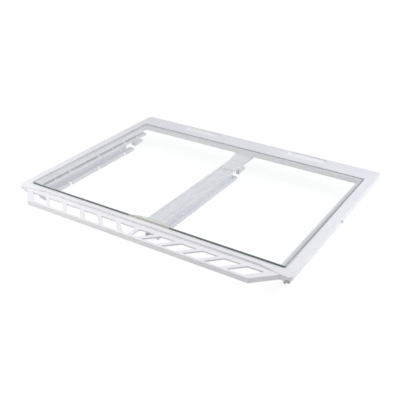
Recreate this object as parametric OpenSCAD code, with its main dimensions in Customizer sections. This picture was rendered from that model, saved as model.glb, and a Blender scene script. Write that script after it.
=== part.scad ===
// Cover for a pair of refrigerator crisper drawers: a moulded border frame that holds a
// glass shelf, a slatted grille along its front and three drawer rails hung underneath.
// X runs across the shelf, Y from the front to the back and Z up from the feet of the
// rails. The origin is under the middle of the whole cover.

/* [Glass] */
// Width of the glass panel
glass_w = 563; // [460:1:680]
// Depth of the glass panel
glass_d = 394; // [360:1:480]
// Thickness of the glass panel
glass_t = 3.2; // [2.6:0.1:4]
// Radius of the corners of the glass
glass_corner_r = 2.5; // [1:0.5:6]
// Width of the ground edge of the glass
glass_arris = 0.5; // [0.2:0.1:0.8]
// Gap round the glass in its recess
glass_gap = 0.8; // [0.3:0.1:1.5]

/* [Frame] */
// Width of the border at each side, measured from the glass to the outer rim
side_border_w = 20; // [18:0.5:32]
// Width of the border at the back
back_border_w = 49; // [40:0.5:70]
// Width of the border between the glass and the front grille
front_border_w = 11; // [10.5:0.5:16]
// How far the side borders run on past the front border
front_reach = 6; // [4:0.5:9]
// Length of the slanting part of the front border at each end
sweep_w = 40; // [30:1:60]
// How far the frame reaches in under the glass at the sides and the back
ledge_w = 9; // [6:0.5:12]
// How far the frame reaches in under the front edge of the glass
front_ledge_w = 3.5; // [3:0.5:6]
// Thickness of the top skin
skin_t = 2.5; // [1.8:0.1:3]
// Thickness of the skirts and rims
wall_t = 2.3; // [1.6:0.1:2.6]
// Thickness of the ribs
rib_t = 1.8; // [1.2:0.1:2.4]
// Spacing of the ribs
rib_pitch = 48.2; // [40:0.1:52]
// How far the ribs stand behind the middle of the glass
rib_shift = 2.6; // [-4:0.1:4]
// Height of the outer skirt
skirt_h = 16.2; // [14:0.1:17.5]
// Height of the skirt round the opening
inner_skirt_h = 13; // [10:0.1:15]
// Height of the rim of the side flanges
flange_h = 13; // [11:0.1:14]
// Width of the side flanges that rest on the cabinet
flange_w = 11.5; // [8:0.5:14]
// Radius of the front corners of the side flanges
ear_r = 7; // [3:0.5:9]
// Radius of the back corners of the frame
back_corner_r = 5; // [2:0.5:9]

/* [Front grille] */
// Distance from the front border to the front of the grille
lip_d = 44; // [40:0.5:56]
// Half the length of the front edge of the grille
lip_front_hw = 242; // [180:1:270]
// Drop from the front border to the top of the grille
step_h = 3.5; // [2:0.1:4.5]
// Thickness of the grille plate
lip_t = 3; // [2.4:0.1:4]
// Height of the rim of the grille
rim_h = 9.6; // [7:0.1:11]
// Number of windows on each side of the middle rib
window_n = 6; // [3:1:6]
// Spacing of the windows
window_pitch = 43.3; // [38:0.1:43.4]
// Width of a window across the cover
window_w = 32; // [20:0.5:34]
// Place of the back outer corner of the first window
window_start = 39.9; // [36:0.1:41]
// Margin between the windows and the front of the grille
window_front_margin = 5; // [4:0.5:8]
// Margin between the windows and the front border
window_back_margin = 12.7; // [11.5:0.1:14]
// Radius of the corners of the windows
window_r = 2.2; // [0.5:0.1:3]
// Width of the straight rib in the middle
middle_rib_w = 7.5; // [5:0.5:12]
// Length of the ramp of the hanger behind the opening
hanger_l = 31; // [16:1:36]
// How much wider than the centre rail the hanger is on each side
hanger_extra = 3; // [2:0.5:6]

/* [Back pockets] */
// Distance of the middle of each pocket from the middle of the cover
pocket_x = 136; // [110:1:160]
// Length of a pocket
pocket_l = 90; // [50:1:110]
// Width of a pocket
pocket_w = 24; // [12:0.5:28]
// Depth of a pocket
pocket_depth = 2.6; // [1:0.1:4]
// Thickness of the rim behind a pocket
pocket_rim = 2.5; // [2:0.1:5]
// Radius of the ends of a pocket
pocket_r = 6; // [2:0.5:6]

/* [Side pegs] */
// Diameter of the locating pegs
peg_d = 6; // [4:0.5:6]
// Depth of the middle of the pegs below the top of the cover
peg_drop = 8.5; // [7.5:0.1:9.5]
// How far a peg stands out past the flange
peg_out = 3; // [1:0.1:5]
// Place of the pegs behind the middle of the glass
peg_y = 14; // [-60:1:60]

/* [Rails] */
// Drop from the top of the cover to the seats of the rails
seat_drop = 18; // [17.6:0.1:22]
// Height of the rails
rail_h = 32; // [26:0.5:40]
// Thickness of the walls of the rails
rail_t = 2.3; // [1.8:0.1:2.6]
// Width of the top of the centre rail
rail_top_w = 36; // [34:0.5:44]
// Width of the runner of the centre rail
runner_w = 28; // [27:0.5:32]
// Distance between the outer faces of the two webs of the centre rail
web_w = 19; // [17:0.5:20]
// Height of the lip that hangs from a runner
runner_lip_h = 5.6; // [3:0.1:8]
// Depth of the trough along the top of the centre rail
trough_depth = 2.5; // [1:0.1:4]
// Distance of the edge of a side rail inside the opening
side_rail_in = 4; // [0:0.5:8]
// Width of the top of a side rail
side_rail_w = 16.5; // [16:0.5:17.5]
// Width of the runner of a side rail
side_runner_w = 11.5; // [8:0.5:12]
// Distance from the front of the glass to the front of the runners
runner_front = 18; // [14:0.5:30]
// Distance from the back of the glass to the rounded ends of the runners
runner_back = 62; // [50:1:90]
// Length of the gap in the web ahead of the end of the runners
web_gap_l = 18; // [10:1:30]
// Gap between the end of a runner and its drawer stop
stop_gap = 6.5; // [4:0.5:12]
// Length of a drawer stop
stop_l = 32; // [24:1:40]
// Distance from the back of the glass to the flat back part of the centre rail
flat_back = 85; // [60:1:100]

/* [Screws] */
// Diameter of the screw shanks
screw_d = 3.5; // [2.9:0.1:4]
// Diameter of the screw heads
screw_head_d = 7; // [5.5:0.1:7.5]
// Height of the screw heads
screw_head_h = 2.4; // [1.8:0.1:3]
// Length of the screws under the head
screw_l = 11; // [8:0.5:11]
// Diameter of the screw bosses
boss_d = 8; // [7:0.1:9]
// Distance of the screws of the centre rail from its middle
screw_x = 11; // [9:0.5:12]

/* [Hidden] */
$fn = 32;
eps = 0.01;
fit = 0.1;

// The side rails stand on every rib, and every other rib has a screw boss.
rib_n = 3;
screw_ribs = [-2, 0, 2];

cover_d = back_border_w + glass_d + front_border_w + lip_d;
cover_h = seat_drop + rail_h;

// Places along Y, from the back to the front
back_y = cover_d / 2;
glass_back_y = back_y - back_border_w;
glass_front_y = glass_back_y - glass_d;
glass_mid_y = (glass_back_y + glass_front_y) / 2;
border_front_y = glass_front_y - front_border_w;
lip_front_y = border_front_y - lip_d;
end_front_y = border_front_y - front_reach;
open_back_y = glass_back_y - ledge_w;
open_front_y = glass_front_y + front_ledge_w;

// Places along X, from the middle out
open_x = glass_w / 2 - ledge_w;
recess_x = glass_w / 2 + glass_gap;
flange_x = glass_w / 2 + side_border_w;
body_x = flange_x - flange_w;
lip_root_x = lip_front_hw + lip_d - front_reach;
sweep_x = lip_root_x - sweep_w;
sweep_a = atan(front_reach / sweep_w);

// Each front corner slopes down to the grille from the line between the start of the
// sweep and the side rim beside the front of the glass.
facet_x = flange_x - sweep_x;
facet_a = atan(front_border_w / facet_x);
facet_slope = atan(step_h / ((front_border_w + front_reach) * cos(facet_a)));

// Places along Z, from the top down
glass_z = cover_h - glass_t;
lip_z = glass_z - step_h;
seat_z = cover_h - seat_drop;
ledge_t = skin_t;
hanger_x = rail_top_w / 2 + hanger_extra;

// Rails, measured from the feet up
runner_z = runner_lip_h + rail_t;
trough_z = rail_h - trough_depth - rail_t;
runner_front_y = glass_front_y + runner_front;
runner_back_y = glass_back_y - runner_back;
stop_front_y = runner_back_y + stop_gap;
stop_back_y = stop_front_y + stop_l;
stop_slope = 20;
stop_tip_h = 5;
flat_back_y = glass_back_y - flat_back;
centre_rail_front_y = border_front_y + wall_t + fit;
centre_rail_back_y = open_back_y + wall_t + boss_d + 6;
side_rail_front_y = runner_front_y - 8;
side_rail_back_y = stop_back_y + 6;
screw_front_y = (border_front_y + wall_t + open_front_y - wall_t) / 2;
screw_back_y = open_back_y + wall_t + boss_d / 2 + 2;
side_screw_x = open_x + boss_d / 2;
screw_cross_w = 1;
screw_cross_h = 1.2;

// A closed outline with its corners eased by curves that start a distance r from each one
function eased(points, r, steps = 4) = [
    for (i = [0 : len(points) - 1])
        let (
            corner = points[i],
            before = points[(i + len(points) - 1) % len(points)],
            after = points[(i + 1) % len(points)],
            start = corner + (before - corner) / norm(before - corner) * r,
            end = corner + (after - corner) / norm(after - corner) * r
        )
        for (s = [0 : steps])
            let (t = s / steps)
            start * (1 - t) * (1 - t) + corner * 2 * t * (1 - t) + end * t * t
];

// Points of an arc from angle a0 to angle a1
function arc(centre, r, a0, a1, steps = 8) = [
    for (s = [0 : steps])
        let (a = a0 + (a1 - a0) * s / steps)
        centre + r * [cos(a), sin(a)]
];

// Front of the border from left to right, drawn in by a distance. It sweeps forward at
// both ends, where it meets the grille.
function border_front(inset) = let (shift = inset * tan(sweep_a / 2)) [
    [-lip_root_x - shift, end_front_y + inset], [-sweep_x - shift, border_front_y + inset],
    [sweep_x + shift, border_front_y + inset], [lip_root_x + shift, end_front_y + inset]
];

// Front and ends of the grille, drawn in by a distance. The ends are chamfered at 45
// degrees and run back to a line inside the border.
function lip_outline(inset, back) = let (
    front = lip_front_y + inset,
    front_hw = lip_front_hw - inset * (sqrt(2) - 1),
    back_hw = front_hw + back - front
) [[-back_hw, back], [-front_hw, front], [front_hw, front], [back_hw, back]];

// A box from its lowest and highest corners
module box(low, high) translate(low) cube(high - low);

module both_sides() {
    children();
    mirror([1, 0, 0]) children();
}

// A profile drawn in Y and Z, carried along X between two places
module along_x(x0, x1) translate([x0, 0, 0]) rotate([90, 0, 90])
    linear_extrude(height = x1 - x0) children();

// A profile drawn in X and Z, carried along Y between two places
module along_y(y0, y1) translate([0, y1, 0]) rotate([90, 0, 0])
    linear_extrude(height = y1 - y0) children();

// Everything under the top of the border. The top is level with the glass at the back
// and falls by the thickness of the glass towards the front, where the edge is left open.
module under_top(drop, low) difference() {
    along_x(-flange_x, flange_x) polygon([
        [end_front_y, low], [back_y, low], [back_y, cover_h - drop],
        [glass_back_y, cover_h - drop], [glass_front_y, glass_z - drop],
        [end_front_y, glass_z - drop]
    ]);
    both_sides() translate([sweep_x, border_front_y, glass_z - drop])
        rotate([0, 0, facet_a]) rotate([facet_slope, 0, 0])
            translate([0, -lip_d, 0]) cube([2 * facet_x, lip_d, skirt_h]);
}

// Places of the ribs along Y for the sides and along X for the front and the back
function side_rib_y(i) = glass_mid_y + rib_shift + i * rib_pitch;
front_rib_n = floor((open_x - rail_top_w / 2) / rib_pitch);
function cross_rib_x(i) = rail_top_w / 2 + 6 + i * rib_pitch;

module body_shell() difference() {
    intersection() {
        under_top(0, cover_h - skirt_h);
        linear_extrude(height = cover_h) body_outline(0);
    }
    intersection() {
        under_top(skin_t, 0);
        translate([0, 0, -eps]) linear_extrude(height = cover_h) body_outline(wall_t);
    }
}

// The body without its side flanges
module body_outline(inset) polygon(concat(
    [[-body_x + inset, end_front_y + inset]],
    border_front(inset),
    [[body_x - inset, end_front_y + inset], [body_x - inset, back_y - inset],
        [-body_x + inset, back_y - inset]]
));

// One side flange, with a round ear at its front end
module flange_outline(inset) polygon(concat(
    [[body_x - wall_t + inset, end_front_y + inset]],
    arc([flange_x - ear_r, end_front_y + ear_r], ear_r - inset, -90, 0),
    arc([flange_x - back_corner_r, back_y - back_corner_r], back_corner_r - inset, 0, 90),
    [[body_x - wall_t + inset, back_y - inset]]
));

module side_flange() {
    difference() {
        intersection() {
            under_top(0, cover_h - flange_h);
            linear_extrude(height = cover_h) flange_outline(0);
        }
        intersection() {
            under_top(skin_t, 0);
            linear_extrude(height = cover_h) difference() {
                flange_outline(wall_t);
                translate([body_x - wall_t - 1, end_front_y]) square([wall_t + 1, cover_d]);
            }
        }
    }
    intersection() {
        under_top(0, cover_h - flange_h);
        for (i = [-rib_n - 1 : rib_n + 1])
            box([body_x - eps, side_rib_y(i) - rib_t / 2, 0],
                [flange_x - wall_t / 2, side_rib_y(i) + rib_t / 2, cover_h]);
    }
}

// The walls of the recess, the ledge that carries the glass and the skirt of the opening
module glass_seat() intersection() {
    under_top(0, 0);
    union() {
        box([-recess_x - wall_t, border_front_y + wall_t / 2, glass_z - ledge_t],
            [recess_x + wall_t, glass_back_y + glass_gap + wall_t, cover_h]);
        box([-open_x - wall_t, open_front_y - wall_t, cover_h - inner_skirt_h],
            [open_x + wall_t, open_back_y + wall_t, cover_h]);
    }
}

module ribs() intersection() {
    under_top(skin_t / 2, 0);
    linear_extrude(height = cover_h) body_outline(wall_t / 2);
    union() {
        both_sides() for (i = [-rib_n : rib_n])
            box([open_x, side_rib_y(i) - rib_t / 2, seat_z],
                [body_x, side_rib_y(i) + rib_t / 2, cover_h]);
        both_sides() for (i = [0 : front_rib_n])
            box([cross_rib_x(i) - rib_t / 2, end_front_y, cover_h - inner_skirt_h],
                [cross_rib_x(i) + rib_t / 2, open_front_y, cover_h]);
        both_sides() for (i = [0 : front_rib_n])
            box([cross_rib_x(i) - rib_t / 2, open_back_y, cover_h - inner_skirt_h],
                [cross_rib_x(i) + rib_t / 2, back_y, cover_h]);
        both_sides() box([open_x, open_front_y - wall_t, cover_h - inner_skirt_h],
            [body_x, open_front_y, cover_h]);
        both_sides() box([open_x, open_back_y, cover_h - inner_skirt_h],
            [body_x, open_back_y + wall_t, cover_h]);
    }
}

// Bosses for the screws and the hangers that the centre rail butts up to
module bosses() {
    intersection() {
        under_top(skin_t / 2, 0);
        union() {
            both_sides() for (i = screw_ribs)
                translate([side_screw_x, side_rib_y(i), seat_z]) cylinder(d = boss_d, h = seat_drop);
            both_sides() for (y = [screw_front_y, screw_back_y])
                translate([screw_x, y, seat_z]) cylinder(d = boss_d, h = seat_drop);
        }
    }
    for (y = [open_front_y - wall_t, open_back_y])
        box([-hanger_x, y, seat_z], [hanger_x, y + wall_t, glass_z - ledge_t]);
}

// The hanger in front of the back skirt, which spreads and rises towards it
module hanger() intersection() {
    along_x(-hanger_x, hanger_x) polygon([
        [open_back_y + wall_t / 2, seat_z], [open_back_y + wall_t / 2, cover_h - inner_skirt_h],
        [open_back_y, cover_h - inner_skirt_h], [open_back_y - hanger_l, seat_z + 0.6],
        [open_back_y - hanger_l, seat_z]
    ]);
    linear_extrude(height = cover_h) polygon([
        [-hanger_x, open_back_y + wall_t], [-rail_top_w / 2, open_back_y - hanger_l],
        [rail_top_w / 2, open_back_y - hanger_l], [hanger_x, open_back_y + wall_t]
    ]);
}

module screw_holes() {
    both_sides() for (i = screw_ribs)
        translate([side_screw_x, side_rib_y(i), seat_z - eps])
            cylinder(d = screw_d + fit, h = screw_l + fit);
    both_sides() for (y = [screw_front_y, screw_back_y])
        translate([screw_x, y, seat_z - eps]) cylinder(d = screw_d + fit, h = screw_l + fit);
}

module pocket_outline(inset) {
    low = back_y - pocket_rim - pocket_w;
    polygon(eased([
        [pocket_x - pocket_l / 2 + inset, low + inset],
        [pocket_x + pocket_l / 2 - inset, low + inset],
        [pocket_x + pocket_l / 2 - inset, low + pocket_w - inset],
        [pocket_x - pocket_l / 2 + inset, low + pocket_w - inset]
    ], pocket_r));
}

module grille() {
    border = border_front(wall_t / 2);
    translate([0, 0, lip_z - lip_t]) linear_extrude(height = lip_t) difference() {
        polygon(concat(
            lip_outline(0, end_front_y + wall_t / 2), [for (i = [3 : -1 : 0]) border[i]]));
        both_sides() for (i = [0 : window_n - 1]) window(i);
    }
    translate([0, 0, lip_z - rim_h]) linear_extrude(height = rim_h) difference() {
        polygon(lip_outline(0, end_front_y + wall_t / 2));
        polygon(lip_outline(wall_t, end_front_y + wall_t));
    }
}

// One slanting window. The first one stops short of the middle rib.
module window(i) {
    back = border_front_y - window_back_margin;
    front = lip_front_y + window_front_margin;
    outer = window_start + i * window_pitch;
    inner = outer - window_w;
    run = back - front;
    edge = middle_rib_w / 2;
    polygon(eased(
        inner - run < edge
            ? [[outer, back], [inner, back], [edge, back - inner + edge], [edge, front], [outer - run, front]]
            : [[outer, back], [inner, back], [inner - run, front], [outer - run, front]],
        window_r));
}

module pegs() both_sides()
    translate([flange_x - wall_t, glass_mid_y + peg_y, cover_h - peg_drop])
        rotate([0, 90, 0]) cylinder(d = peg_d, h = wall_t + peg_out);

module cover_frame() color([0.93, 0.93, 0.95]) difference() {
    union() {
        difference() {
            union() {
                body_shell();
                both_sides() side_flange();
                glass_seat();
                ribs();
                bosses();
                pegs();
                both_sides() translate([0, 0, cover_h - pocket_depth - skin_t])
                    linear_extrude(height = pocket_depth + skin_t / 2) pocket_outline(-1.5);
            }
            box([-open_x, open_front_y, -1], [open_x, open_back_y, cover_h + 1]);
        }
        grille();
        hanger();
    }
    box([-recess_x, glass_front_y, glass_z], [recess_x, glass_back_y + glass_gap, cover_h + 1]);
    both_sides() translate([0, 0, cover_h - pocket_depth])
        linear_extrude(height = pocket_depth + 1) pocket_outline(0);
    screw_holes();
}

// Tempered glass with round corners and ground edges
module glass_panel() color([0.72, 0.86, 0.82, 0.4]) translate([0, glass_mid_y, glass_z])
    difference() {
        linear_extrude(height = glass_t) polygon(concat(
            arc([glass_w, -glass_d] / 2 + glass_corner_r * [-1, 1], glass_corner_r, -90, 0),
            arc([glass_w, glass_d] / 2 - glass_corner_r * [1, 1], glass_corner_r, 0, 90),
            arc([-glass_w, glass_d] / 2 + glass_corner_r * [1, -1], glass_corner_r, 90, 180),
            arc([-glass_w, -glass_d] / 2 + glass_corner_r * [1, 1], glass_corner_r, 180, 270)));
        for (z = [0, glass_t]) {
            for (s = [-1, 1]) {
                translate([s * glass_w / 2, 0, z]) rotate([0, 45, 0])
                    cube([glass_arris * sqrt(2), glass_d + 2, glass_arris * sqrt(2)], center = true);
                translate([0, s * glass_d / 2, z]) rotate([45, 0, 0])
                    cube([glass_w + 2, glass_arris * sqrt(2), glass_arris * sqrt(2)], center = true);
            }
        }
    }

// Side view of a rail in Y and Z: the top plate, the web with its gap, the runner with
// its rounded end and the sloping drawer stop behind it
module rail_side_view(front, back) {
    under = rail_h - trough_depth - rail_t;
    lead = 3;
    difference() {
        polygon([
            [front, rail_h], [front, under], [runner_front_y, under],
            [runner_front_y, lead], [runner_front_y + lead, 0],
            [runner_back_y + eps, 0], [runner_back_y + eps, runner_z],
            [stop_front_y, runner_z + 1], [stop_back_y - 2, runner_z + 4],
            [stop_back_y, runner_z + 4 + stop_tip_h / 2], [stop_back_y - stop_slope, under],
            [back, under], [back, rail_h]
        ]);
        polygon([
            [runner_back_y - web_gap_l, runner_z], [runner_back_y + 1, runner_z],
            [runner_back_y + 1, -1], [stop_front_y, -1], [stop_front_y, under],
            [runner_back_y - web_gap_l, under]
        ]);
        difference() {
            translate([runner_back_y - runner_z / 2, -1]) square([runner_z, runner_z + 2]);
            translate([runner_back_y - runner_z / 2, runner_z / 2]) circle(d = runner_z);
        }
    }
}

// Half of a section of a rail in X and Z, to the right of its middle
module centre_rail_section() {
    translate([rail_top_w / 2 - rail_t, trough_z]) square([rail_t, rail_h - trough_z]);
    translate([web_w / 2 - rail_t, runner_lip_h]) square([rail_t, rail_h - runner_lip_h]);
    translate([0, runner_lip_h]) square([runner_w / 2, rail_t]);
    translate([runner_w / 2 - rail_t, 0]) square([rail_t, runner_z]);
}

module centre_rail() color([0.9, 0.91, 0.93]) difference() {
    both_sides() intersection() {
        along_x(-eps, rail_top_w / 2) rail_side_view(centre_rail_front_y, centre_rail_back_y);
        union() {
            along_y(lip_front_y, back_y) centre_rail_section();
            box([-eps, runner_front_y, trough_z],
                [rail_top_w / 2, flat_back_y, trough_z + rail_t]);
            box([-eps, lip_front_y, rail_h - rail_t],
                [rail_top_w / 2, runner_front_y + rail_t, rail_h]);
            box([-eps, flat_back_y - rail_t, rail_h - rail_t],
                [rail_top_w / 2, back_y, rail_h]);
            box([-eps, runner_front_y, trough_z], [rail_top_w / 2, runner_front_y + rail_t, rail_h]);
            box([-eps, flat_back_y - rail_t, trough_z], [rail_top_w / 2, flat_back_y, rail_h]);
            box([web_w / 2 - eps, stop_front_y, runner_z], [runner_w / 2, stop_back_y, rail_h]);
        }
    }
    box([-web_w / 2 + rail_t, runner_front_y + rail_t, trough_z + rail_t],
        [web_w / 2 - rail_t, flat_back_y - rail_t, rail_h + 1]);
    both_sides() for (y = [screw_front_y, screw_back_y]) translate([screw_x, y, -1]) {
        cylinder(d = screw_d + 4 * fit, h = rail_h + 2);
        cylinder(d = screw_head_d + 1, h = rail_h - rail_t + 1);
    }
}

// The right-hand rail, with its edge a little inside the opening
module side_rail() {
    edge = open_x - side_rail_in;
    out = edge + side_rail_w;
    difference() {
        intersection() {
            along_x(edge, out) rail_side_view(side_rail_front_y, side_rail_back_y);
            union() {
                along_y(lip_front_y, back_y) {
                    translate([edge, rail_h - rail_t]) square([side_rail_w, rail_t]);
                    translate([edge, trough_z]) square([rail_t, rail_h - trough_z]);
                    translate([out - rail_t, runner_lip_h]) square([rail_t, rail_h - runner_lip_h]);
                    translate([out - side_runner_w, runner_lip_h]) square([side_runner_w, rail_t]);
                    translate([out - side_runner_w, 0]) square([rail_t, runner_z]);
                }
                box([out - side_runner_w, stop_front_y, runner_z],
                    [out - side_runner_w / 2, stop_back_y, rail_h]);
            }
        }
        for (i = screw_ribs) translate([side_screw_x, side_rib_y(i), -1]) {
            cylinder(d = screw_d + 4 * fit, h = rail_h + 2);
            cylinder(d = screw_head_d + 1, h = rail_h - rail_t + 1);
        }
    }
}

module right_rail() color([0.9, 0.91, 0.93]) side_rail();
module left_rail() color([0.9, 0.91, 0.93]) mirror([1, 0, 0]) side_rail();

// A screw that stands with its head under the top plate of a rail
module screw() translate([0, 0, rail_h - rail_t]) difference() {
    union() {
        cylinder(d = screw_d, h = screw_l);
        translate([0, 0, -screw_head_h / 2]) cylinder(d = screw_head_d, h = screw_head_h / 2);
        translate([0, 0, -screw_head_h])
            cylinder(d1 = screw_head_d * 0.7, d2 = screw_head_d, h = screw_head_h / 2);
    }
    for (a = [0, 90]) rotate([0, 0, a])
        translate([-screw_head_d / 4, -screw_cross_w / 2, -screw_head_h - 1])
            cube([screw_head_d / 2, screw_cross_w, 1 + screw_cross_h]);
}

module right_rail_screws() color("silver")
    for (i = screw_ribs) translate([side_screw_x, side_rib_y(i), 0]) screw();

module left_rail_screws() color("silver")
    for (i = screw_ribs) translate([-side_screw_x, side_rib_y(i), 0]) screw();

module centre_rail_screws() color("silver")
    both_sides() for (y = [screw_front_y, screw_back_y]) translate([screw_x, y, 0]) screw();

cover_frame();
glass_panel();
centre_rail();
left_rail();
right_rail();
centre_rail_screws();
left_rail_screws();
right_rail_screws();
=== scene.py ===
"""Looks of a refrigerator crisper cover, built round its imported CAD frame.

Lengths are metres in the part's own frame: X runs across the shelf, Y to the back and Z up.
"""

import logging
import math
from dataclasses import dataclass
from enum import Enum
from typing import Any, Sequence

import bmesh
import bpy
import numpy as np
from mathutils import Matrix, Vector


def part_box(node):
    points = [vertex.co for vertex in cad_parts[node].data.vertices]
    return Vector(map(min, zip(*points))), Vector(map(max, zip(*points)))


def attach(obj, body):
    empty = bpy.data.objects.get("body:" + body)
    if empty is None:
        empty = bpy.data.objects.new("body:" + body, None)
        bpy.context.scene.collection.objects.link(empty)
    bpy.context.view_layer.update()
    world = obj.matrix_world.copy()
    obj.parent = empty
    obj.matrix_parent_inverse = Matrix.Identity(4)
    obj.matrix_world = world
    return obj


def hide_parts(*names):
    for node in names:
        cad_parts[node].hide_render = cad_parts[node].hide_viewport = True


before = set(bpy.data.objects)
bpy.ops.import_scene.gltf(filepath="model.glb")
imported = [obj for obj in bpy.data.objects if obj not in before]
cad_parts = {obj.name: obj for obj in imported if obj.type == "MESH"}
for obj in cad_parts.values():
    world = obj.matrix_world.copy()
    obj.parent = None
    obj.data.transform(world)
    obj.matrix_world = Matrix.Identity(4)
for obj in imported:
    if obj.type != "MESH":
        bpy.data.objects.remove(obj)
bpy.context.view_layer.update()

MM = 0.001

Colour = tuple[float, float, float]
Point = tuple[float, float, float]
WHITE: Colour = (1.0, 1.0, 1.0)
BLENDER_SENSOR = 36.0

logging.basicConfig(level=logging.INFO, format="%(message)s")
log = logging.getLogger("crisper_cover")


def linear(red: int, green: int, blue: int) -> Colour:
    """The scene-linear colour of an 8-bit screen colour.

    Args:
        red: Red from 0 to 255.
        green: Green from 0 to 255.
        blue: Blue from 0 to 255.

    Returns:
        The three linear values. Each is ((v + 0.055) / 1.055) to the power 2.4, or v / 12.92
        for the darkest tones, where v is the screen value over 255.
    """
    values = np.array((red, green, blue)) / 255
    curve = np.where(values <= 0.04045, values / 12.92, ((values + 0.055) / 1.055) ** 2.4)
    return tuple(float(v) for v in curve)


# Shader building


class Wire:
    """A node's output socket that takes part in Python arithmetic."""

    def __init__(self, tree: "Tree", socket: bpy.types.NodeSocket) -> None:
        """Keeps the tree that the socket belongs to, so that sums can add nodes to it."""
        self.tree = tree
        self.socket = socket

    def _sum(self, operation: str, *values: Any) -> "Wire":
        """Adds one Math node that works on the given values.

        Args:
            operation: Blender's name of the operation.
            *values: Numbers or wires, in the order of the node's sockets.

        Returns:
            The node's result.
        """
        return self.tree.node(
            "ShaderNodeMath", {"operation": operation}, dict(enumerate(values))
        )

    def __add__(self, other: Any) -> "Wire":
        """self + other."""
        return self._sum("ADD", self, other)

    def __radd__(self, other: Any) -> "Wire":
        """other + self."""
        return self._sum("ADD", other, self)

    def __sub__(self, other: Any) -> "Wire":
        """self - other."""
        return self._sum("SUBTRACT", self, other)

    def __rsub__(self, other: Any) -> "Wire":
        """other - self."""
        return self._sum("SUBTRACT", other, self)

    def __mul__(self, other: Any) -> "Wire":
        """self * other."""
        return self._sum("MULTIPLY", self, other)

    def __rmul__(self, other: Any) -> "Wire":
        """other * self."""
        return self._sum("MULTIPLY", other, self)

    def __abs__(self) -> "Wire":
        """The size of self."""
        return self._sum("ABSOLUTE", self)

    def above(self, other: Any) -> "Wire":
        """1 where self is greater than other, and 0 elsewhere."""
        return self._sum("GREATER_THAN", self, other)

    def below(self, other: Any) -> "Wire":
        """1 where self is less than other, and 0 elsewhere."""
        return self._sum("LESS_THAN", self, other)

    def larger(self, other: Any) -> "Wire":
        """The larger of self and other."""
        return self._sum("MAXIMUM", self, other)

    def ramp(self, low: float, high: float, start: float = 0.0, end: float = 1.0) -> "Wire":
        """Carries self smoothly from one range to another and holds it there.

        Args:
            low: The value of self that gives start.
            high: The value of self that gives end.
            start: The result at low.
            end: The result at high.

        Returns:
            The smoothed and clamped value.
        """
        return self.tree.node(
            "ShaderNodeMapRange",
            {"interpolation_type": "SMOOTHSTEP"},
            {"Value": self, "From Min": low, "From Max": high, "To Min": start, "To Max": end},
        )


class Tree:
    """The node tree of a material or a world."""

    def __init__(self, owner: Any) -> None:
        """Clears the owner's node tree, so that only named nodes are in it."""
        owner.use_nodes = True
        self.tree = owner.node_tree
        self.tree.nodes.clear()

    def node(
        self,
        kind: str,
        settings: dict[str, Any] | None = None,
        inputs: dict[int | str, Any] | None = None,
        output: int | str = 0,
    ) -> Wire:
        """Adds one node.

        Args:
            kind: Blender's type name of the node.
            settings: The node's own settings, which are set first.
            inputs: A value or a wire for each input socket that is set.
            output: The output socket that is returned.

        Returns:
            The wire of the asked output, or of the node's first input if it has no output.
        """
        made = self.tree.nodes.new(kind)
        for name, value in (settings or {}).items():
            setattr(made, name, value)
        for name, value in (inputs or {}).items():
            if isinstance(value, Wire):
                self.tree.links.new(value.socket, made.inputs[name])
            else:
                fits = made.inputs[name].type == "RGBA" and len(value) == 3
                made.inputs[name].default_value = (*value, 1.0) if fits else value
        return Wire(self, made.outputs[output] if made.outputs else made.inputs[0])

    def place(self, axis: str | None = None) -> Wire:
        """Where the surface is in the object's own coordinates.

        Args:
            axis: "X", "Y" or "Z" for one coordinate.

        Returns:
            The vector, or the one coordinate.
        """
        spot = self.node("ShaderNodeTexCoord", output="Object")
        return spot if axis is None else self.node("ShaderNodeSeparateXYZ", None, {0: spot}, axis)

    def noise(
        self, size: float, detail: float = 2.0, stretch: Point = (1.0, 1.0, 1.0), shift: float = 0.0
    ) -> Wire:
        """Noise that is fixed to the object.

        Args:
            size: How far apart the spots are, in metres.
            detail: How many finer layers are added.
            stretch: How much longer the spots are along X, Y and Z.
            shift: Moves the noise along, for a pattern of its own.

        Returns:
            A value between 0 and 1 whose mean is about 0.5.
        """
        spot = self.node(
            "ShaderNodeMapping",
            None,
            {
                "Vector": self.place(),
                "Location": (shift, shift, shift),
                "Scale": tuple(1 / s for s in stretch),
            },
        )
        return self.node(
            "ShaderNodeTexNoise", None, {"Vector": spot, "Scale": 1 / size, "Detail": detail}
        )

    def blend(self, share: Any, first: Any, second: Any) -> Wire:
        """Mixes two colours.

        Args:
            share: How much of the second colour shows.
            first: The colour at 0.
            second: The colour at 1.

        Returns:
            The mixed colour.
        """
        return self.node(
            "ShaderNodeMix", {"data_type": "RGBA"}, {0: share, 6: first, 7: second}, 2
        )

    def bump(self, height: Wire, depth: float, base: Wire | None = None) -> Wire:
        """Turns a height from 0 to 1 into a normal.

        Args:
            height: The height over the surface.
            depth: How high 1 stands, in metres.
            base: The normal that is bumped, if it isn't the surface's own.

        Returns:
            The normal.
        """
        sockets = {"Height": height, "Distance": depth, "Strength": 1.0}
        if base is not None:
            sockets["Normal"] = base
        return self.node("ShaderNodeBump", None, sockets)

    def finish(self, shader: Wire, kind: str = "ShaderNodeOutputMaterial") -> None:
        """Joins the shader to the tree's output."""
        self.node(kind, None, {"Surface": shader})


# Finishes


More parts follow.
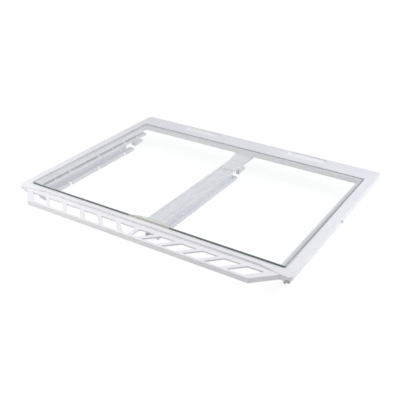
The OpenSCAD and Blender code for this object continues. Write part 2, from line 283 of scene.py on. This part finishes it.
@dataclass(frozen=True)
class MouldedPlastic:
    """White injection-moulded plastic with a fine satin texture.

    Attributes:
        name: The material's name.
        colour: The colour of the plastic.
        shade: The colour where the melt flowed thinnest.
        roughness: The mean roughness.
        index: Index of refraction.
        drift: Size of the patches in which the colour drifts.
        cloud: Size of the patches in which the roughness drifts.
        rub: Width of the faint rubs.
        rub_stretch: How much longer than wide the rubs are.
        texture: Size of the texture's grains.
        texture_depth: Depth of the texture.
        sink: Size of the slow waves that cooling leaves.
        sink_depth: Depth of those waves.
        texture_gain: How much the grains change the roughness.
        cloud_gain: How much the patches change the roughness.
        rub_gain: How much smoother the rubs are.
        edge: Radius of the soft edges.
        pocket_floor: Height of the thin floors of the back pockets, which are painted lighter as
            painted light for the light that comes through them.
        pocket_slack: How near that height a surface is to belong to a thin floor.
        pocket_from: The pockets lie behind this place along Y.
        pocket_painted_light_colour: The lighter colour painted on the thin floors, as painted
            light.
    """

    name: str
    colour: Colour
    shade: Colour
    roughness: float = 0.42
    index: float = 1.5
    drift: float = 95 * MM
    cloud: float = 14 * MM
    rub: float = 1.3 * MM
    rub_stretch: float = 24.0
    texture: float = 0.7 * MM
    texture_depth: float = 0.012 * MM
    sink: float = 46 * MM
    sink_depth: float = 0.12 * MM
    texture_gain: float = 0.16
    cloud_gain: float = 0.12
    rub_gain: float = 0.07
    edge: float = 0.4 * MM
    pocket_floor: float = 47.4 * MM
    pocket_slack: float = 0.1 * MM
    pocket_from: float = 215 * MM
    # Painted light: a lighter colour for the thin pocket floors, standing for the light that comes
    # through them.
    pocket_painted_light_colour: Colour = linear(248, 248, 251)

    def material(self) -> bpy.types.Material:
        """Builds the material.

        The colour drifts between two close whites, and the thin floors of the back pockets are
        painted lighter as painted light. The roughness follows the grain and a few long faint rubs,
        and the bump adds the grain to slow sink waves on softened edges.

        Returns:
            The material.
        """
        made = bpy.data.materials.new(self.name)
        tree = Tree(made)
        drift = tree.noise(self.drift, 3.0, shift=0.3)
        grain = tree.noise(self.texture, 3.0)
        cloud = tree.noise(self.cloud, 4.0, shift=0.7)
        long_rub = (1.0, self.rub_stretch, 1.0)
        rubs = tree.noise(self.rub, 2.0, long_rub, 0.1).ramp(0.62, 0.78)
        sink = tree.noise(self.sink, 1.0, shift=0.9)
        white = tree.blend(drift.ramp(0.3, 0.75), self.colour, self.shade)
        # Painted light: the thin floors of the back pockets get a lighter colour, for light that
        # comes through them.
        level = abs(tree.place("Z") - self.pocket_floor).below(self.pocket_slack)
        thin = level * tree.place("Y").above(self.pocket_from)
        colour = tree.blend(thin, white, self.pocket_painted_light_colour)
        uneven = (grain - 0.5) * self.texture_gain + (cloud - 0.5) * self.cloud_gain
        rough = self.roughness + uneven - rubs * self.rub_gain
        soft = tree.node("ShaderNodeBevel", {"samples": 6}, {"Radius": self.edge})
        waves = tree.bump(sink, self.sink_depth, soft)
        shader = tree.node(
            "ShaderNodeBsdfPrincipled",
            None,
            {
                "Base Color": colour,
                "Roughness": rough,
                "Normal": tree.bump(grain, self.texture_depth, waves),
                "IOR": self.index,
            },
        )
        tree.finish(shader)
        return made


@dataclass(frozen=True)
class ClearGlass:
    """The polished faces of float glass.

    Attributes:
        name: The material's name.
        tint: The colour that one face lets through.
        lit_through: The share of the lamps' light that one face lets through.
        roughness: Roughness that faint wipe marks add.
        wipe: Width of the wipe marks.
        wipe_stretch: How much longer than wide they are.
        index: Index of refraction.
    """

    name: str = "clear_glass"
    tint: Colour = (0.985, 0.996, 0.993)
    lit_through: Colour = (0.915, 0.92, 0.92)
    roughness: float = 0.02
    wipe: float = 22 * MM
    wipe_stretch: float = 3.5
    index: float = 1.5

    def material(self) -> bpy.types.Material:
        """Builds the material: glass that bends and mirrors what is seen, and lets lamps through.

        Returns:
            The material.
        """
        made = bpy.data.materials.new(self.name)
        tree = Tree(made)
        wipes = tree.noise(self.wipe, 4.0, (1.0, self.wipe_stretch, 1.0), 0.4).ramp(0.5, 0.8)
        glass = tree.node(
            "ShaderNodeBsdfPrincipled",
            None,
            {
                "Base Color": self.tint,
                "Roughness": wipes * self.roughness,
                "IOR": self.index,
                "Transmission Weight": 1.0,
            },
        )
        clear = tree.node("ShaderNodeBsdfTransparent", None, {"Color": self.lit_through})
        lighting = tree.node("ShaderNodeLightPath", output="Is Shadow Ray").larger(
            tree.node("ShaderNodeLightPath", output="Is Diffuse Ray")
        )
        tree.finish(tree.node("ShaderNodeMixShader", None, {0: lighting, 1: glass, 2: clear}))
        return made


@dataclass(frozen=True)
class GlassEdge:
    """The ground edge of float glass, painted dark as painted shade where no light comes in behind
    it, and lighter as painted light in one stretch.

    Attributes:
        name: The material's name.
        front_painted_shade: Painted shade: the dark colour of the flat of the front edge.
        side: Painted shade: the grey colour of the flat of the other edges, which lie in the
            recess.
        bright: Painted light: the lighter colour of the flat in front of the centre rail, for the
            light that comes in there from behind.
        frost: Colour of the two ground arrises.
        painted_light_from: Where the painted light stretch starts along X.
        painted_light_to: Where it ends.
        front: Places in front of this Y are on the front edge.
        middle: Height of the middle of the edge.
        half: Half the height of the flat between the arrises.
        fade: Half the length over which the painted light stretch fades at each end.
        arris_fade: Half the height over which the flat passes into an arris.
        streak: Size of the grinding streaks.
        streak_share: How much the streaks lighten the flat.
        pits: Size of the fine pits that grinding leaves.
        pit_depth: Depth of the pits.
        index: Index of refraction.
    """

    front: float
    middle: float
    half: float
    name: str = "glass_edge"
    # Painted shade and painted light: the dark front flat, the grey flats in the recess and the
    # lighter stretch in front of the centre rail.
    front_painted_shade: Colour = linear(82, 91, 95)
    side: Colour = linear(158, 163, 169)
    bright: Colour = linear(204, 206, 194)
    frost: Colour = linear(150, 160, 163)
    painted_light_from: float = -38 * MM
    painted_light_to: float = 52 * MM
    fade: float = 2 * MM
    arris_fade: float = 0.1 * MM
    streak: float = 5 * MM
    streak_share: float = 0.06
    pits: float = 0.5 * MM
    pit_depth: float = 0.01 * MM
    index: float = 1.5

    def material(self) -> bpy.types.Material:
        """Builds the material: a glossy flat painted dark as painted shade, with one stretch of
        painted light, between two frosted arrises.

        Returns:
            The material.
        """
        made = bpy.data.materials.new(self.name)
        tree = Tree(made)
        along = tree.place("X")
        streaks = tree.noise(self.streak, 3.0, (3.0, 3.0, 0.2), 0.2)
        # Painted light: the stretch of the front edge in front of the centre rail is made lighter.
        starts = along.ramp(self.painted_light_from - self.fade, self.painted_light_from + self.fade)
        stops = along.ramp(self.painted_light_to - self.fade, self.painted_light_to + self.fade, 1.0, 0.0)
        ahead = tree.place("Y").below(self.front)
        away = abs(tree.place("Z") - self.middle)
        arris = away.ramp(self.half - self.arris_fade, self.half + self.arris_fade)
        # Painted shade: the flat is dark on the front edge and grey on the other edges.
        edge = tree.blend(ahead, self.side, self.front_painted_shade)
        # The painted light stretch, plus the real grinding streaks that lighten the flat a little.
        lit = starts * stops * ahead * (1 - self.streak_share) + streaks * self.streak_share
        flat = tree.blend(lit, edge, self.bright)
        colour = tree.blend(arris * (streaks * 0.3 + 0.55), flat, self.frost)
        shader = tree.node(
            "ShaderNodeBsdfPrincipled",
            None,
            {
                "Base Color": colour,
                "Roughness": arris * 0.4 + streaks * 0.1 + 0.12,
                "Normal": tree.bump(tree.noise(self.pits, 2.0), self.pit_depth),
                "IOR": self.index,
            },
        )
        tree.finish(shader)
        return made


@dataclass(frozen=True)
class ClearAdhesive:
    """Cured glass adhesive, a cloudy olive grey.

    Attributes:
        name: The material's name.
        thick: Its colour where it is thick.
        thin: Its colour where it is thin.
        cloud: Size of its cloudy patches.
        ripple: Size of the waves in its skin.
        ripple_depth: Depth of the waves.
        index: Index of refraction.
    """

    name: str = "clear_adhesive"
    thick: Colour = linear(214, 215, 203)
    thin: Colour = linear(226, 227, 219)
    cloud: float = 7 * MM
    ripple: float = 3 * MM
    ripple_depth: float = 0.1 * MM
    index: float = 1.42

    def material(self) -> bpy.types.Material:
        """Builds the material: cloudy patches under a wavy, shiny skin.

        Returns:
            The material.
        """
        made = bpy.data.materials.new(self.name)
        tree = Tree(made)
        cloud = tree.noise(self.cloud, 4.0, shift=0.2)
        shader = tree.node(
            "ShaderNodeBsdfPrincipled",
            None,
            {
                "Base Color": tree.blend(cloud.ramp(0.3, 0.7), self.thick, self.thin),
                "Roughness": cloud * 0.2 + 0.22,
                "Normal": tree.bump(tree.noise(self.ripple, 2.0), self.ripple_depth),
                "IOR": self.index,
            },
        )
        tree.finish(shader)
        return made


@dataclass(frozen=True)
class ZincSteel:
    """Bright zinc on a steel screw.

    Attributes:
        name: The material's name.
        bright: Colour of the clean plating.
        dull: Colour of the matt patches.
        roughness: Roughness of the clean plating.
        patch: Size of the matt patches.
        pit: Size of the pits in the plating.
        pit_depth: Depth of the pits.
    """

    name: str = "zinc_steel"
    bright: Colour = (0.78, 0.79, 0.80)
    dull: Colour = (0.52, 0.53, 0.55)
    roughness: float = 0.22
    patch: float = 1.6 * MM
    pit: float = 0.25 * MM
    pit_depth: float = 0.02 * MM

    def material(self) -> bpy.types.Material:
        """Builds the material: fine spangle, with matt patches that are rougher and darker.

        Returns:
            The material.
        """
        made = bpy.data.materials.new(self.name)
        tree = Tree(made)
        patches = tree.noise(self.patch, 3.0).ramp(0.42, 0.7)
        pits = tree.noise(self.pit, 3.0, shift=0.5)
        shader = tree.node(
            "ShaderNodeBsdfPrincipled",
            None,
            {
                "Base Color": tree.blend(patches, self.bright, self.dull),
                "Metallic": 1.0,
                "Roughness": patches * 0.25 + pits * 0.12 + self.roughness,
                "Normal": tree.bump(pits, self.pit_depth),
            },
        )
        tree.finish(shader)
        return made


# Meshes


def grid_quads(rows: int, columns: int, around: bool, first: int = 0) -> np.ndarray:
    """The faces of a grid whose points are numbered row by row.

    Args:
        rows: How many rows of points there are.
        columns: How many points a row has.
        around: True if the last column joins the first.
        first: Number of the grid's first point.

    Returns:
        One row of four point numbers for each face. The face at row r and column c has the
        corners (r, c), (r, c + 1), (r + 1, c + 1) and (r + 1, c).
    """
    row, column = np.meshgrid(
        np.arange(rows - 1), np.arange(columns if around else columns - 1), indexing="ij"
    )
    beside = (column + 1) % columns
    corners = (
        row * columns + column,
        row * columns + beside,
        (row + 1) * columns + beside,
        (row + 1) * columns + column,
    )
    return first + np.stack(corners, axis=-1).reshape(-1, 4)


def rounded_rectangle(
    half_x: float, half_y: float, radius: float, steps: int
) -> tuple[np.ndarray, np.ndarray]:
    """A rectangle with round corners, anticlockwise from its right side.

    Args:
        half_x: Half its size along X.
        half_y: Half its size along Y.
        radius: Radius of its corners.
        steps: Points on each corner.

    Returns:
        The points, each a corner's centre + radius * (cos a, sin a), and the outward
        directions (cos a, sin a). The angle a goes once round in all.
    """
    quarter = np.linspace(0, np.pi / 2, steps)
    angle = np.concatenate([quarter + k * np.pi / 2 for k in range(4)])
    outward = np.stack((np.cos(angle), np.sin(angle)), axis=-1)
    signs = np.repeat(((1, 1), (-1, 1), (-1, -1), (1, -1)), steps, axis=0)
    centres = signs * (half_x - radius, half_y - radius)
    return centres + radius * outward, outward


class Piece:
    """A new mesh of the object, in the row's frame."""

    def __init__(self, name: str, points: np.ndarray, faces: Sequence[Sequence[int]]) -> None:
        """Makes the mesh and its object, and lets it ride on the body.

        Args:
            name: The piece's name.
            points: One row of X, Y and Z for each point.
            faces: The point numbers of each face.
        """
        mesh = bpy.data.meshes.new(name)
        mesh.from_pydata(points.tolist(), [], faces)
        mesh.update()
        self.thing = bpy.data.objects.new(name, mesh)
        bpy.context.scene.collection.objects.link(self.thing)
        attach(self.thing, "root")

    def shade(self, angle: float) -> None:
        """Smooths the shading where faces meet at less than an angle in degrees."""
        mesh = self.thing.data
        mesh.polygons.foreach_set("use_smooth", np.ones(len(mesh.polygons), dtype=bool))
        mesh.set_sharp_from_angle(angle=math.radians(angle))

    def face_outwards(self) -> None:
        """Turns the faces of a closed mesh outwards."""
        work = bmesh.new()
        work.from_mesh(self.thing.data)
        bmesh.ops.recalc_face_normals(work, faces=work.faces)
        work.to_mesh(self.thing.data)
        work.free()

    def dress(self, *materials: bpy.types.Material) -> None:
        """Gives the mesh its materials, in the order of its slots."""
        for material in materials:
            self.thing.data.materials.append(material)

    def stands_for(self, node: str) -> None:
        """Hides the CAD node that this piece replaces."""
        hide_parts(node)


# Parts of the cover


@dataclass
class GlassPanel:
    """The glass shelf, with round corners and a ground edge.

    Attributes:
        corner: Radius of its corners.
        arris: Width of the ground arrises.
        ease: How much of the arris is rounded where it meets the flat.
        corner_steps: Points on each corner.
        smooth_below: Faces that meet at less than this many degrees are shaded smooth.
    """

    corner: float = 2.5 * MM
    arris: float = 0.5 * MM
    ease: float = 0.16
    corner_steps: int = 9
    smooth_below: float = 20.0

    def build(self) -> Piece:
        """Makes the panel as one closed sheet.

        The rim is a profile carried round the outline. At each point of the outline the
        profile steps in along the outward direction by (arris, small, 0, 0, small, arris)
        while it climbs from the bottom to the top, so the arrises are eased at both ends.

        Returns:
            The finished piece.
        """
        low, high = (np.array(corner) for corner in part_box("glass_panel"))
        middle, half = (low + high) / 2, (high - low) / 2
        outline, outward = rounded_rectangle(half[0], half[1], self.corner, self.corner_steps)
        ease = self.arris * self.ease
        inset = np.array((self.arris, ease, 0, 0, ease, self.arris))
        climb = np.array((0, self.arris - ease, self.arris + ease))
        height = np.concatenate((low[2] + climb, high[2] - climb[::-1]))
        flat = outline[None] - inset[:, None, None] * outward[None]
        rise = np.broadcast_to(height[:, None, None], (*flat.shape[:2], 1))
        points = np.concatenate((flat + middle[:2], rise), axis=-1)
        rows, columns = points.shape[:2]
        rim = grid_quads(rows, columns, around=True)
        top = (rows - 1) * columns + np.arange(columns)
        caps = [top.tolist(), np.arange(columns)[::-1].tolist()]
        piece = Piece("glass_shelf", points.reshape(-1, 3), rim.tolist() + caps)
        piece.dress(
            ClearGlass().material(),
            GlassEdge(low[1] + self.corner, middle[2], half[2] - self.arris).material(),
        )
        slots = np.ones(len(rim) + len(caps), dtype=np.int32)
        slots[-len(caps):] = 0
        piece.thing.data.polygons.foreach_set("material_index", slots)
        piece.shade(self.smooth_below)
        piece.stands_for("glass_panel")
        return piece


@dataclass
class AdhesiveBead:
    """The adhesive squeezed out behind the front ledge, between the glass and the centre rail.

    Attributes:
        left: Its left end along X.
        right: Its right end.
        ledge: How far the front ledge reaches in under the glass.
        reach: How far the bead spreads back from the ledge.
        depth: How far it hangs below the glass.
        slack: The gap that keeps it off the glass and the ledge.
        start: How much of its full width it has at its left end.
        widens: The share of its length over which it reaches its full width.
        rows: Points along it.
        columns: Points round its section.
        smooth_below: Faces that meet at less than this many degrees are shaded smooth.
    """

    left: float = -32 * MM
    right: float = 50 * MM
    ledge: float = 3.5 * MM
    reach: float = 10 * MM
    depth: float = 2.2 * MM
    slack: float = 0.05 * MM
    start: float = 0.55
    widens: float = 0.625
    rows: int = 49
    columns: int = 20
    smooth_below: float = 50.0

    def build(self) -> Piece:
        """Makes the bead as a closed surface on a grid of (u, v).

        u runs from 0 to 1 along the bead and v once round its section, which is an ellipse
        cut flat under the glass. The section's size follows the square root of
        1 - |2 u - 1| ** 3, with slow waves of a few per cent, so it is almost nothing at the
        two ends. The section also widens from the left end on.

        Returns:
            The finished piece.
        """
        low, _ = (np.array(corner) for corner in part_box("glass_panel"))
        u = np.linspace(0, 1, self.rows)[:, None]
        v = np.linspace(0, 2 * np.pi, self.columns, endpoint=False)[None]
        swell = np.sqrt(np.clip(1 - abs(2 * u - 1) ** 3, 1e-4, 1))
        waves = 1 + 0.07 * np.sin(19 * u) + 0.05 * np.sin(43 * u + 1)
        lean = self.start + (1 - self.start) * np.clip(u / self.widens, 0, 1)
        half = self.reach / 2 * swell * waves * lean
        x = self.left + (self.right - self.left) * u + 0 * v
        y = low[1] + self.ledge + self.slack + half * (1 + np.cos(v))
        sag = self.depth * swell * waves
        z = low[2] - self.slack - sag * np.clip(0.35 + 0.65 * np.sin(v), 0, 1)
        points = np.stack((x, y, z), axis=-1).reshape(-1, 3)
        quads = grid_quads(self.rows, self.columns, around=True)
        last = (self.rows - 1) * self.columns + np.arange(self.columns)
        caps = [np.arange(self.columns).tolist()[::-1], last.tolist()]
        piece = Piece("glass_adhesive", points, quads.tolist() + caps)
        piece.face_outwards()
        piece.dress(ClearAdhesive().material())
        piece.shade(self.smooth_below)
        return piece


@dataclass
class ScrewSet:
    """The pan-head screws, with a cross recess, that hold one rail under the frame.

    Attributes:
        node: The CAD node of these screws.
        rows: How many screws stand in a row from front to back.
        lines: How many such rows stand side by side.
        head: Diameter of a head.
        head_height: Height of a head.
        dome: How much of the height the dome falls by at the rim.
        dome_power: How late the dome falls: the power of the radius.
        shank: Diameter over the thread.
        thread_depth: Depth of the thread.
        pitch: Rise of the thread in one turn.
        thread_steps: Points along the shank in each pitch.
        taper: The share of the shank that draws in to its point.
        slot_half: Half the width of the recess's slots, as a share of the head's radius.
        slot_fade: How far the sides of the slots slope, as a share of it.
        slot_reach: How far the slots run out, as a share of it.
        slot_end: How far their ends slope, as a share of it.
        slot_depth: Depth of the recess, as a share of the head's height.
        around: Points round a screw.
        smooth_below: Faces that meet at less than this many degrees are shaded smooth.
    """

    node: str
    rows: int
    lines: int
    head: float = 7 * MM
    head_height: float = 2.4 * MM
    dome: float = 0.62
    dome_power: float = 2.6
    shank: float = 3.5 * MM
    thread_depth: float = 0.45 * MM
    pitch: float = 1.3 * MM
    thread_steps: int = 8
    taper: float = 0.12
    slot_half: float = 0.09
    slot_fade: float = 0.1
    slot_reach: float = 0.48
    slot_end: float = 0.12
    slot_depth: float = 0.7
    around: int = 40
    smooth_below: float = 35.0

    def places(self) -> np.ndarray:
        """Where the axes of the screws stand: spaced evenly between the ends of the node's box."""
        low, high = (np.array(corner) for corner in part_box(self.node))
        edge = self.head / 2
        across = np.linspace(low[0] + edge, high[0] - edge, self.lines)
        along = np.linspace(low[1] + edge, high[1] - edge, self.rows)
        return np.stack(np.meshgrid(across, along), axis=-1).reshape(-1, 2)

    def head_surface(self, angle: np.ndarray) -> np.ndarray:
        """The dome, rim and underside of a head that hangs below its seat.

        The dome falls as head_height * (1 - dome * (r / R) ** dome_power). The cross is sunk
        where the smaller of |x| and |y| is under half the slot's width and the larger is
        inside the recess, with both edges sloped.

        Args:
            angle: The angles round the screw.

        Returns:
            A grid of points, from the middle of the dome out and up to the shank.
        """
        reach = self.head / 2
        radius = np.concatenate(
            (np.linspace(0.02, 0.62, 22), np.linspace(0.66, 0.97, 9), (1.0, 1.0, 0.98))
        ) * reach
        share = radius / reach
        level = self.head_height * (1 - self.dome * share**self.dome_power)
        level[-2:] = (0.12 * self.head_height, 0)
        x, y = radius[:, None] * np.cos(angle), radius[:, None] * np.sin(angle)
        near, far = np.minimum(abs(x), abs(y)), np.maximum(abs(x), abs(y))
        slot = 1 - np.clip((near / reach - self.slot_half) / self.slot_fade, 0, 1)
        end = 1 - np.clip((far / reach - self.slot_reach) / self.slot_end, 0, 1)
        sunk = slot * end * self.slot_depth * self.head_height
        return np.stack((x, y, sunk - level[:, None] + 0 * x), axis=-1)

    def thread_surface(self, angle: np.ndarray, length: float) -> np.ndarray:
        """The threaded shank with its pointed end.

        The radius is the core's plus the thread's depth times a ridge that climbs one pitch
        in each turn. All of it draws in to a point at the end, over the length that taper says.

        Args:
            angle: The angles round the screw.
            length: Length of the shank.

        Returns:
            A grid of points, from under the head up to the point.
        """
        height = np.linspace(0, length, int(length / self.pitch * self.thread_steps))[:, None]
        phase = (height / self.pitch - angle[None] / (2 * np.pi)) % 1
        ridge = np.clip(1 - abs(phase - 0.5) * 3.2, 0, 1)
        taper = np.sqrt(np.clip((length - height) / (self.taper * length), 0.0004, 1))
        started = np.clip(height / self.pitch, 0, 1)
        radius = (self.shank / 2 - self.thread_depth * (1 - ridge * started)) * taper
        radius = np.broadcast_to(radius, (len(height), len(angle)))
        return np.stack(
            (radius * np.cos(angle), radius * np.sin(angle), height + 0 * radius), axis=-1
        )

    def build(self, finish: bpy.types.Material) -> Piece:
        """Makes all the screws of the set as one piece.

        Args:
            finish: The material of the screws.

        Returns:
            The finished piece.
        """
        low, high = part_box(self.node)
        angle = np.linspace(0, 2 * np.pi, self.around, endpoint=False)
        head = self.head_surface(angle)
        thread = self.thread_surface(angle, high[2] - low[2] - self.head_height)
        one = np.concatenate((head, thread)).reshape(-1, 3)
        rows = len(head) + len(thread)
        quads = grid_quads(rows, self.around, around=True)
        dome = np.arange(self.around)
        tip = (rows - 1) * self.around + dome
        places = self.places()
        seat = np.array((0, 0, low[2] + self.head_height))
        offset = np.concatenate((places, np.zeros((len(places), 1))), axis=1) + seat
        points = (one[None] + offset[:, None]).reshape(-1, 3)
        first = np.arange(len(places)) * len(one)
        faces = (quads[None] + first[:, None, None]).reshape(-1, 4).tolist()
        ends = np.concatenate((dome + first[:, None], tip + first[:, None])).tolist()
        piece = Piece(self.node + "_threaded", points, faces + ends)
        piece.face_outwards()
        piece.dress(finish)
        piece.shade(self.smooth_below)
        piece.stands_for(self.node)
        return piece


@dataclass
class Mouldings:
    """The white mouldings, which are the CAD's own solids in a better finish."""

    frame_nodes: tuple[str, ...] = ("cover_frame",)
    rail_nodes: tuple[str, ...] = ("centre_rail", "left_rail", "right_rail")

    def dress(self) -> None:
        """Puts the plastics into the material slots of the CAD nodes."""
        shell = MouldedPlastic(
            "frame_plastic_satin", linear(237, 237, 241), linear(233, 233, 238)
        )
        rail = MouldedPlastic(
            "rail_plastic_satin", linear(234, 236, 240), linear(230, 232, 237), roughness=0.36
        )
        for finish, nodes in ((shell, self.frame_nodes), (rail, self.rail_nodes)):
            material = finish.material()
            for name in nodes:
                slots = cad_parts[name].material_slots
                for slot in slots:
                    slot.material = material
                log.info("dressed %s: %d slots", name, len(slots))


# Studio


class LampKind(Enum):
    """What a lamp is."""

    FAR = "SUN"
    PANEL = "AREA"


@dataclass(frozen=True)
class Lamp:
    """One soft lamp that is turned to the middle of the object.

    Attributes:
        name: The lamp's name.
        azimuth: Where it stands, in degrees from +X towards +Y.
        elevation: How high it stands, in degrees.
        strength: What it gives the middle of the object, as a far lamp's strength.
        colour: Its colour.
        kind: A far lamp, or a square panel near the object.
        spread: How wide it looks from the object, in degrees.
        distance: How far away it stands.
    """

    name: str
    azimuth: float
    elevation: float
    strength: float
    colour: Colour = WHITE
    kind: LampKind = LampKind.FAR
    spread: float = 50.0
    distance: float = 3.0

    def build(self) -> None:
        """Adds the lamp. A panel of power pi * strength * distance ** 2 matches a far lamp."""
        light = bpy.data.lights.new(self.name, self.kind.value)
        light.color = self.colour
        spread = math.radians(self.spread)
        if self.kind is LampKind.FAR:
            light.energy, light.angle = self.strength, spread
        else:
            light.energy = math.pi * self.strength * self.distance**2
            light.size = 2 * self.distance * math.tan(spread / 2)
        thing = bpy.data.objects.new(self.name, light)
        side, up = math.radians(self.azimuth), math.radians(self.elevation)
        away = Vector(
            (math.cos(side) * math.cos(up), math.sin(side) * math.cos(up), math.sin(up))
        )
        thing.rotation_mode = "QUATERNION"
        thing.rotation_quaternion = away.to_track_quat("Z", "Y")
        thing.location = away * self.distance
        bpy.context.scene.collection.objects.link(thing)


@dataclass
class Studio:
    """The camera, the lamps, the white surround and the floor.

    Attributes:
        eye: Where the camera stands.
        ahead: The direction it looks in.
        right: The direction to the right of the picture.
        lens: Its focal length in millimetres.
        nearest: Nothing nearer than this is drawn.
        furthest: Nothing further than this is drawn.
        ambient: Strength of the light from all round.
        lamps: The lamps.
        floor_half: Half the size of the floor.
        floor_albedo: How much light the floor gives back.
        floor_level: What the lit floor shows in all; 1 is white.
        floor_spill: How much brighter the panels make the floor round the object.
        spill_from: The spill starts to fade this far from the middle.
        spill_to: It is gone this far from the middle.
    """

    eye: Point = (0.6147, -1.0314, 0.6391)
    ahead: Point = (-0.45274, 0.75974, -0.46671)
    right: Point = (0.85315, 0.52125, 0.02092)
    lens: float = 58.31
    nearest: float = 0.05
    furthest: float = 60.0
    ambient: float = 0.24
    lamps: tuple[Lamp, ...] = (
        Lamp("window", 45, 55, 1.19, (0.86, 0.885, 1.0)),
        Lamp("right_panel", 15, 30, 1.25, (0.97, 0.99, 1.0), LampKind.PANEL, distance=0.9),
        Lamp("front_panel", 250, 45, 1.11, (1.0, 0.95, 0.81), LampKind.PANEL, distance=0.8),
        Lamp("left_panel", 210, 15, 0.9, (0.92, 0.94, 1.0), LampKind.PANEL, distance=0.9),
    )
    floor_half: float = 12.0
    floor_albedo: float = 0.2
    floor_level: float = 1.04
    floor_spill: float = 0.05
    spill_from: float = 0.5
    spill_to: float = 2.0

    def build(self) -> None:
        """Sets up everything round the object."""
        self._camera()
        self._world()
        self._floor()
        for lamp in self.lamps:
            lamp.build()
        bpy.context.scene.view_settings.view_transform = "Standard"
        log.info("studio: %d lamps", len(self.lamps))

    def _camera(self) -> None:
        """Adds the camera. Its up is right x ahead, and it looks along its own -Z."""
        data = bpy.data.cameras.new("camera")
        data.lens, data.sensor_width = self.lens, BLENDER_SENSOR
        data.clip_start, data.clip_end = self.nearest, self.furthest
        thing = bpy.data.objects.new("camera", data)
        bpy.context.scene.collection.objects.link(thing)
        ahead = Vector(self.ahead).normalized()
        right = (Vector(self.right) - ahead * ahead.dot(Vector(self.right))).normalized()
        turn = Matrix((right, right.cross(ahead), -ahead)).transposed()
        thing.matrix_world = Matrix.Translation(self.eye) @ turn.to_4x4()
        bpy.context.scene.camera = thing

    def _floor_glow(self, tree: Tree) -> Wire:
        """What lifts the lit floor to white.

        It is the floor's level less the light that the far lamps and the surround make the
        floor give back, and less the panels' spill near the object.

        Args:
            tree: The floor's tree.

        Returns:
            The colour of the glow, a grey.
        """
        far = sum(
            lamp.strength * math.sin(math.radians(lamp.elevation))
            for lamp in self.lamps
            if lamp.kind is LampKind.FAR
        )
        reach = tree.node(
            "ShaderNodeVectorMath", {"operation": "LENGTH"}, {0: tree.place()}, "Value"
        )
        level = self.floor_level - self.floor_albedo * (self.ambient + far / math.pi)
        near = level - self.floor_spill
        away = reach.ramp(self.spill_from, self.spill_to)
        return tree.blend(away, (near, near, near), (level, level, level))

    def _seen(self, tree: Tree) -> Wire:
        """1 for a ray that shows in the picture, a mirror or glass, and 0 for one that lights.

        Args:
            tree: The tree that asks.

        Returns:
            The share.
        """
        rays = ("Is Camera Ray", "Is Glossy Ray", "Is Transmission Ray")
        camera, glossy, through = (
            tree.node("ShaderNodeLightPath", output=name) for name in rays
        )
        return camera.larger(glossy).larger(through)

    def _world(self) -> None:
        """A white surround that lights the object with less than it shows."""
        world = bpy.data.worlds.new("surround")
        bpy.context.scene.world = world
        tree = Tree(world)
        seen = self._seen(tree)
        light = seen * (1 - self.ambient) + self.ambient
        glow = tree.node("ShaderNodeBackground", None, {"Color": WHITE, "Strength": light})
        tree.finish(glow, "ShaderNodeOutputWorld")

    def _floor(self) -> None:
        """A pale floor that shows white where it is lit and keeps the object's soft shadow."""
        h = self.floor_half
        corners = np.array(((-h, -h, 0), (h, -h, 0), (h, h, 0), (-h, h, 0)), dtype=float)
        mesh = bpy.data.meshes.new("floor")
        mesh.from_pydata(corners.tolist(), [], [(0, 1, 2, 3)])
        thing = bpy.data.objects.new("floor", mesh)
        bpy.context.scene.collection.objects.link(thing)
        made = bpy.data.materials.new("floor_white")
        tree = Tree(made)
        seen = self._seen(tree)
        grain = tree.noise(0.4, 2.0)
        plain = tree.node(
            "ShaderNodeBsdfDiffuse",
            None,
            {"Color": tree.blend(grain, (0.78, 0.78, 0.785), (0.8, 0.8, 0.8))},
        )
        a = self.floor_albedo
        dim = tree.node("ShaderNodeBsdfDiffuse", None, {"Color": (a, a, a)})
        glow = tree.node(
            "ShaderNodeEmission", None, {"Color": self._floor_glow(tree), "Strength": 1.0}
        )
        shown = tree.node("ShaderNodeAddShader", None, {0: dim, 1: glow})
        lit = tree.node("ShaderNodeMixShader", None, {0: seen, 1: plain, 2: shown})
        clear = tree.node("ShaderNodeBsdfTransparent", None, {"Color": WHITE})
        under = tree.node("ShaderNodeNewGeometry", output="Backfacing")
        tree.finish(tree.node("ShaderNodeMixShader", None, {0: under, 1: lit, 2: clear}))
        mesh.materials.append(made)


def main() -> None:
    """Builds the whole scene."""
    Studio().build()
    Mouldings().dress()
    glass = GlassPanel().build()
    log.info("built %s: %d faces", glass.thing.name, len(glass.thing.data.polygons))
    bead = AdhesiveBead().build()
    log.info("built %s: %d faces", bead.thing.name, len(bead.thing.data.polygons))
    zinc = ZincSteel().material()
    sets = (
        ScrewSet("centre_rail_screws", 2, 2),
        ScrewSet("left_rail_screws", 3, 1),
        ScrewSet("right_rail_screws", 3, 1),
    )
    for screws in sets:
        piece = screws.build(zinc)
        log.info("built %s: %d faces", piece.thing.name, len(piece.thing.data.polygons))


if __name__ == "__main__":
    main()
